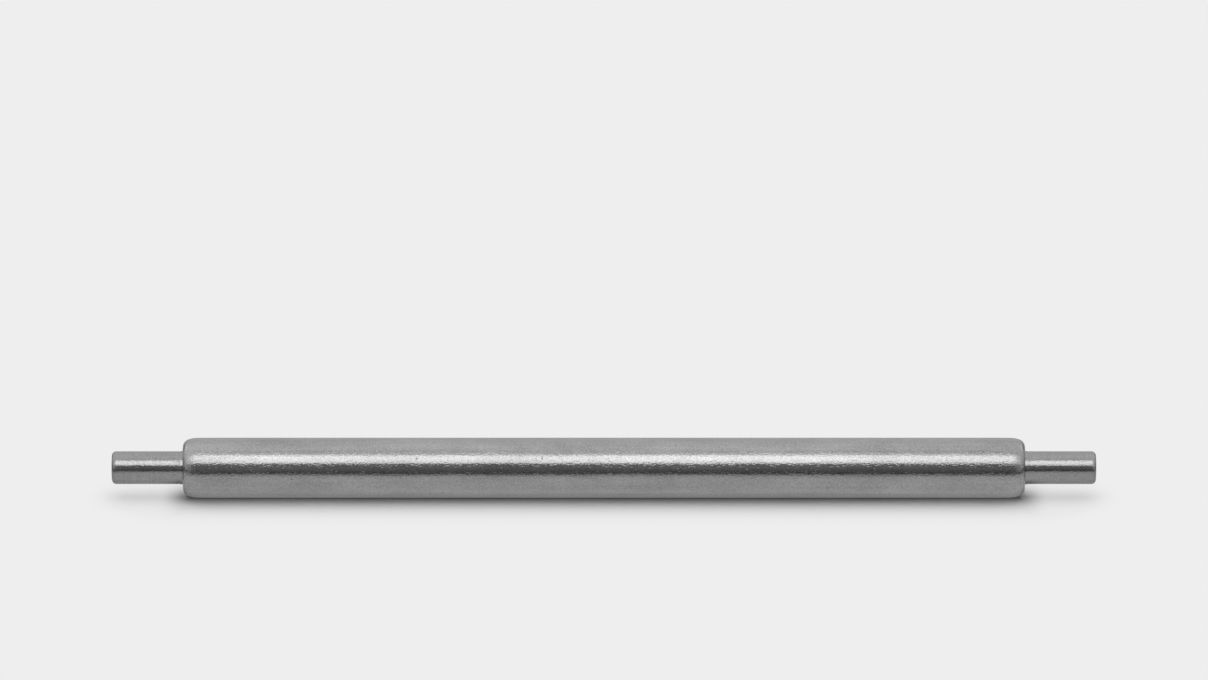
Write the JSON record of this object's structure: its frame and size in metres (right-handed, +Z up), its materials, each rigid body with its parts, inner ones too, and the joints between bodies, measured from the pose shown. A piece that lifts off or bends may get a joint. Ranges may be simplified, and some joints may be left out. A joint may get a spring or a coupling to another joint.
{
  "type": "spring bar",
  "caption": "Shoulderless spring bar: a steel tube with rolled ends holds two sprung pivot pins that push in along its axis, to hang a watch strap between drilled lugs.",
  "frame": {"origin": "on the bar's axis, half way along the sleeve", "axes": "+X along the bar towards the right pin's tip, +Z up, +Y away from the viewer"},
  "size_m": [0.0246, 0.0016, 0.0014],
  "materials": {
    "sleeve_steel": "drawn stainless steel, satin, with fine lengthwise grain",
    "pin_steel": "turned stainless steel, satin, with fine lines round the pin",
    "spring_steel": "drawn spring wire, smooth"
  },
  "bodies": {
    "sleeve": {"sleeve_tube": "sleeve_steel"},
    "spring_core": {"coil_spring": "spring_steel"},
    "left_pin": {"left_pivot_pin": "pin_steel"},
    "right_pin": {"right_pivot_pin": "pin_steel"}
  },
  "joints": [
    {"name": "core_spin", "type": "hinge", "parent": "sleeve", "child": "spring_core", "pos_m": [0, 0, 0], "axis": [1, 0, 0], "continuous": true},
    {"name": "left_pin_slide", "type": "slide", "parent": "spring_core", "child": "left_pin", "axis": [1, 0, 0], "range_m": [0, 0.00178], "stiffness_N_per_m": 300, "deforming": ["coil_spring"]},
    {"name": "right_pin_slide", "type": "slide", "parent": "spring_core", "child": "right_pin", "axis": [-1, 0, 0], "range_m": [0, 0.00178], "stiffness_N_per_m": 300, "deforming": ["coil_spring"]}
  ]
}
